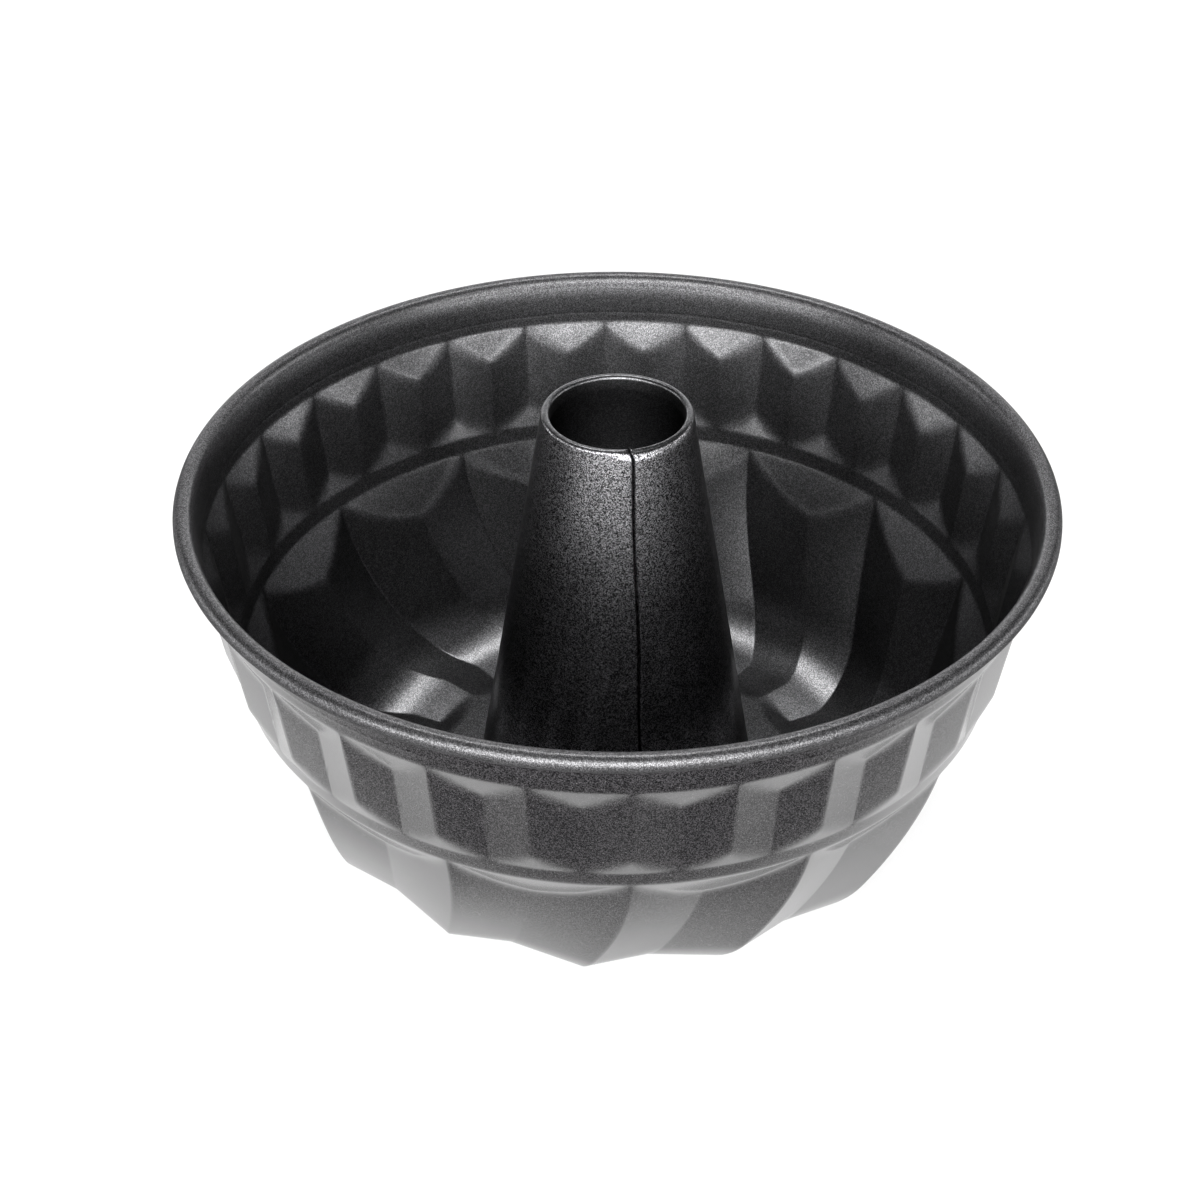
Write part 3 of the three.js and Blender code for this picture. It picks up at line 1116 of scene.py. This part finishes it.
@dataclass
class ChimneyTube(SheetPiece):
    """Tapered tube with an upright lap seam, a rolled-in mouth and a foot locked into the floor."""

    mouth_height: float
    hole_radius: float
    floor_height: float
    name: str = "rolled_chimney"
    node: str = "chimney_tube"
    slot: str = "chimney_coating"
    sheet: float = 0.55
    fit_gap: float = 0.3
    mouth_radius: float = 19.7
    hem_radius: float = 1.1
    hem_length: float = 3.0
    flange_width: float = 5.0
    lock_overlap: float = 0.6
    seam_angle: float = 9.4
    seam_depth: float = 1.0
    seam_width: float = 0.26
    seam_wave: float = 0.25  # how far the seam strays to both sides
    seam_wave_run: float = 9.0  # height over which its wave goes on by one radian
    seam_pull: float = 3.0  # how far beside the seam its wave is felt
    seam_jog: float = 0.9  # the seam leans to the left over the mouth's edge
    lap_rise: float = 0.3  # the lap stands proud on the seam's right side
    lap_width: float = 6.0
    shoulder_height: float = 2.8  # the mouth's outer edge slopes most on the seam's right side
    shoulder_depth: float = 0.8
    shoulder_sink: float = 0.5  # how far it sinks, as a share of its depth
    shoulder_width: float = 1.5  # part of the mouth's fold that slopes, in the fold's radii
    shoulder_reach: float = 55.0  # degrees over which the slope fades on the right
    shoulder_start: float = 8.0  # and on the left
    columns: int = 168
    gather_power: float = 1.6  # draws the columns towards the seam

    @classmethod
    def from_frame(cls, shell: MouldShell) -> "ChimneyTube":
        """Chimney that fits the frame and the shell.

        Args:
            shell: The shell whose hole it stands in.

        Returns:
            The chimney, with its height from the frame's node.
        """
        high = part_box("chimney_tube")[1]
        floor = shell.sheet + shell.flute_floor_depth
        return cls(mouth_height=high.z / MM, hole_radius=shell.floor_radii[3], floor_height=floor)

    def section(self) -> list[Pair]:
        """Outer face of the tube.

        Returns:
            Radius and height of its points, from the flange's edge to the fold's end.
        """
        foot = self.hole_radius - self.fit_gap
        flange = self.floor_height - self.sheet - self.fit_gap
        lock_radius = self.fit_gap + self.lock_overlap
        lock_centre = (foot, self.floor_height + self.fit_gap + lock_radius)
        hem_centre = (self.mouth_radius - self.hem_radius, self.mouth_height - self.hem_radius)
        points = [(foot + self.flange_width * share, flange) for share in (1.0, 0.5, 0.0)]
        points += arc(lock_centre, lock_radius, (-math.pi / 2.0, math.pi / 2.0), LOCK_STEPS)
        taper_foot = points[-1][1]
        shoulder = 1.0 - self.shoulder_height / (hem_centre[1] - taper_foot)
        shares = [shoulder * step / TAPER_STEPS for step in range(1, TAPER_STEPS)]
        shares += [lerp(shoulder, 1.0, step / SHOULDER_STEPS) for step in range(SHOULDER_STEPS)]
        for share in shares:
            points.append((lerp(foot, self.mouth_radius, share), lerp(taper_foot, hem_centre[1], share)))
        points += arc(hem_centre, self.hem_radius, (0.0, math.pi), HEM_STEPS)
        points.append((points[-1][0], hem_centre[1] - self.hem_length))
        return points

    def build(self, material: bpy.types.Material) -> None:
        """Models the tube and lets it stand for its node.

        Args:
            material: The tube's coating.
        """
        mesh, rank = spun(self.section(), self.columns)
        for vertex in mesh.verts:
            self.form_seam(vertex)
        self.place(self.finished(mesh, rank), material)

    def form_seam(self, vertex: bmesh.types.BMVert) -> None:
        """Draws a point's column towards the seam and presses the seam into the tube.

        Args:
            vertex: A point of the spun tube, which is moved.
        """
        seam = math.radians(self.seam_angle)
        angle = math.atan2(vertex.co.x, -vertex.co.y)
        offset = (angle - seam + math.pi) % math.tau - math.pi
        offset = math.copysign(math.pi * (abs(offset) / math.pi) ** self.gather_power, offset)
        radius = vertex.co.xy.length / MM
        height = vertex.co.z / MM
        side = offset * radius
        over_edge = max(1.0 - (self.mouth_height - height) / self.shoulder_height, 0.0)
        wave = self.seam_wave * math.sin(height / self.seam_wave_run) - self.seam_jog * over_edge
        wave *= math.exp(-abs(side) / self.seam_pull)
        groove = self.seam_depth * math.exp(-((side / self.seam_width) ** 2))
        lap = self.lap_rise * math.exp(-side / self.lap_width) if side > 0.0 else 0.0
        turned = seam + offset + wave / radius
        slope = self.shoulder(math.degrees(offset), radius, height)
        sunk = height - self.shoulder_sink * slope
        vertex.co = polar(radius - groove + lap - slope, turned, sunk) * MM

    def shoulder(self, offset: float, radius: float, height: float) -> float:
        """How far the mouth's outer edge is pressed in.

        Args:
            offset: Angle from the seam in degrees, positive to its right.
            radius: Radius of the point in millimetres.
            height: Height of the point in millimetres.

        Returns:
            The distance in millimetres; nothing below the shoulder and on the mouth's inner side.
        """
        fade = self.shoulder_reach if offset > 0.0 else -self.shoulder_start
        up = (height - self.mouth_height + self.shoulder_height) / self.shoulder_height
        out = (radius - self.mouth_radius) / self.hem_radius + self.shoulder_width
        if up <= 0.0 or out <= 0.0:
            return 0.0
        return self.shoulder_depth * math.exp(-offset / fade) * up * up * min(out, 1.0)


@dataclass
class RimWire:
    """Wire inside the rolled rim, as the frame has it."""

    node: str = "rim_wire"

    def dress(self, material: bpy.types.Material) -> None:
        """Gives the frame's wire its finish.

        Args:
            material: The wire's steel.
        """
        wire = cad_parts[self.node]
        wire.data.materials.clear()
        wire.data.materials.append(material)
        LOG.info("%s: finish %s", wire.name, material.name)


@dataclass(frozen=True)
class Softbox:
    """Rectangular area lamp that looks at the mould."""

    name: str
    azimuth: float  # degrees, 0 at the front and 90 on the right
    elevation: float
    distance: float  # metres
    width: float
    height: float
    watts: float

    def build(self, aim: Vector) -> None:
        """Hangs the lamp so that it looks at a point.

        Args:
            aim: The point, in metres.
        """
        data = bpy.data.lights.new(self.name, "AREA")
        data.shape = "RECTANGLE"
        data.size = self.width
        data.size_y = self.height
        data.energy = self.watts
        lamp = bpy.data.objects.new(self.name, data)
        lamp.visible_camera = False
        hang(lamp, aim, bearing(self.azimuth, self.elevation) * self.distance)


@dataclass
class Studio:
    """Pale floor that curves up into a cove, soft lamps and the camera."""

    floor_radius: float = 1.7  # metres
    cove_radius: float = 0.5
    wall_top: float = 1.1
    floor_tone: float = 0.8
    floor_glow: float = 0.7  # share of plain white in the floor that shows and is mirrored
    world_tone: float = 0.01
    camera_azimuth: float = -1.58
    camera_elevation: float = 36.01
    camera_distance: float = 0.6356
    camera_aim: tuple[float, float, float] = (-0.00446, 0.00012, 0.0630)
    lens: float = 70.47
    sensor: float = 36.0
    clip_start: float = 0.01
    # Name, azimuth, elevation, distance, width, height and watts of each lamp
    softboxes: tuple[Softbox, ...] = (
        Softbox("front_softbox", -3.0, 9.0, 1.3, 0.9, 0.4, 18.0),
        Softbox("left_softbox", -43.0, 9.0, 1.3, 0.9, 0.4, 14.0),
        Softbox("right_softbox", 37.0, 9.0, 1.3, 0.9, 0.4, 11.0),
        Softbox("high_softbox", -5.0, 29.0, 1.3, 1.4, 0.5, 25.0),
        Softbox("back_softbox", 175.0, 33.0, 1.3, 1.6, 0.5, 5.0),
        Softbox("rear_softbox", 180.0, 9.0, 1.3, 1.6, 0.4, 12.0),
        Softbox("far_left_softbox", -100.0, 9.0, 1.3, 0.9, 0.4, 5.0),
        Softbox("far_right_softbox", 95.0, 9.0, 1.3, 0.9, 0.4, 5.0),
        Softbox("top_softbox", 180.0, 72.0, 1.4, 1.0, 0.4, 17.0),
    )

    def build(self) -> None:
        """Makes the floor, the world, the lamps and the camera."""
        self.floor()
        self.world()
        for softbox in self.softboxes:
            softbox.build(Vector(self.camera_aim))
        self.camera()
        bpy.context.scene.view_settings.view_transform = "Standard"

    def floor(self) -> None:
        """Floor and cove in one sheet."""
        cove_centre = (self.floor_radius, self.cove_radius)
        section = [(0.0, 0.0), *arc(cove_centre, self.cove_radius, (-math.pi / 2.0, 0.0), COVE_STEPS)]
        section.append((self.floor_radius + self.cove_radius, self.wall_top))
        mesh, _ = spun(section, FLOOR_COLUMNS, unit=1.0)
        merge_and_turn(mesh)
        made = linked_object(mesh, "studio_floor")
        made.data.materials.append(self.floor_material())

    def floor_material(self) -> bpy.types.Material:
        """Pale matt floor that shows as white and keeps the mould's shadow.

        Returns:
            The new material.
        """
        made, sheet = NodeSheet.of_material("studio_floor")
        matt = sheet.add("BsdfDiffuse", {"Color": grey(self.floor_tone)})
        glow = sheet.add("Emission", {"Color": grey(1.0), "Strength": 1.0})
        path = sheet.add("LightPath").outputs
        seen = sheet.math("MAXIMUM", path["Is Camera Ray"], path["Is Glossy Ray"])
        seen = sheet.math("MAXIMUM", seen, path["Is Transmission Ray"])
        share = sheet.math("MULTIPLY", seen, self.floor_glow)
        mixed = sheet.add("MixShader", {0: share, 1: matt.outputs[0], 2: glow.outputs[0]})
        sheet.add("OutputMaterial", {"Surface": mixed.outputs[0]})
        return made

    def world(self) -> None:
        """Dim even light from above the cove."""
        world = bpy.data.worlds.new("studio")
        world.use_nodes = True
        sheet = NodeSheet(world.node_tree)
        light = sheet.add("Background", {"Color": grey(self.world_tone), "Strength": 1.0})
        sheet.add("OutputWorld", {"Surface": light.outputs[0]})
        bpy.context.scene.world = world

    def camera(self) -> None:
        """Camera at the photograph's angle and distance."""
        data = bpy.data.cameras.new("photo_camera")
        data.lens = self.lens
        data.sensor_width = self.sensor
        data.clip_start = self.clip_start
        made = bpy.data.objects.new("photo_camera", data)
        away = bearing(self.camera_azimuth, self.camera_elevation) * self.camera_distance
        hang(made, Vector(self.camera_aim), away)
        bpy.context.scene.camera = made


SHELL_FINISH = CoatingFinish(
    name="graphite_coating",
    inner_flakes=((0.043, 0.043, 0.0443), (0.184, 0.183, 0.189)),
    outer_flakes=((0.004, 0.0038, 0.004), (0.091, 0.0877, 0.0925)),
    spark=(0.4, 0.4, 0.4),
    flake_size=0.22,
    spark_share=0.004,
    roughness=0.39,
    roughness_spread=0.03,
    outer_roughness=0.19,
    peel_size=0.4,
    peel_height=0.007,
    inner_clear=0.03,
    outer_clear=1.0,
    clear_roughness=0.16,
    clear_ior=3.5,
)
CHIMNEY_FINISH = CoatingFinish(
    name="graphite_coating_coarse",
    inner_flakes=((0.05, 0.05, 0.052), (0.155, 0.155, 0.16)),
    outer_flakes=((0.008, 0.008, 0.0083), (0.34, 0.336, 0.35)),
    spark=(0.5, 0.5, 0.5),
    flake_size=0.25,
    spark_share=0.03,
    roughness=0.32,
    roughness_spread=0.03,
    outer_roughness=0.0,
    peel_size=0.4,
    peel_height=0.01,
    inner_clear=0.0,
    outer_clear=0.2,
    clear_roughness=0.18,
    clear_ior=2.0,
)
WIRE_FINISH = DrawnSteelFinish(
    name="drawn_steel",
    base=(0.55, 0.55, 0.56),
    roughness=0.3,
    line_size=0.12,
    line_tone=0.6,
    line_roughness=0.1,
)


def main() -> None:
    """Builds the mould piece by piece and sets it on the studio floor."""
    logging.basicConfig(level=logging.INFO, format="%(name)s: %(message)s")
    Studio().build()
    effects = CoatingEffects()
    shell = MouldShell.from_frame()
    shell.build(SHELL_FINISH.material(effects, shell.bead))
    ChimneyTube.from_frame(shell).build(CHIMNEY_FINISH.material(effects))
    RimWire().dress(WIRE_FINISH.material())


if __name__ == "__main__":
    main()
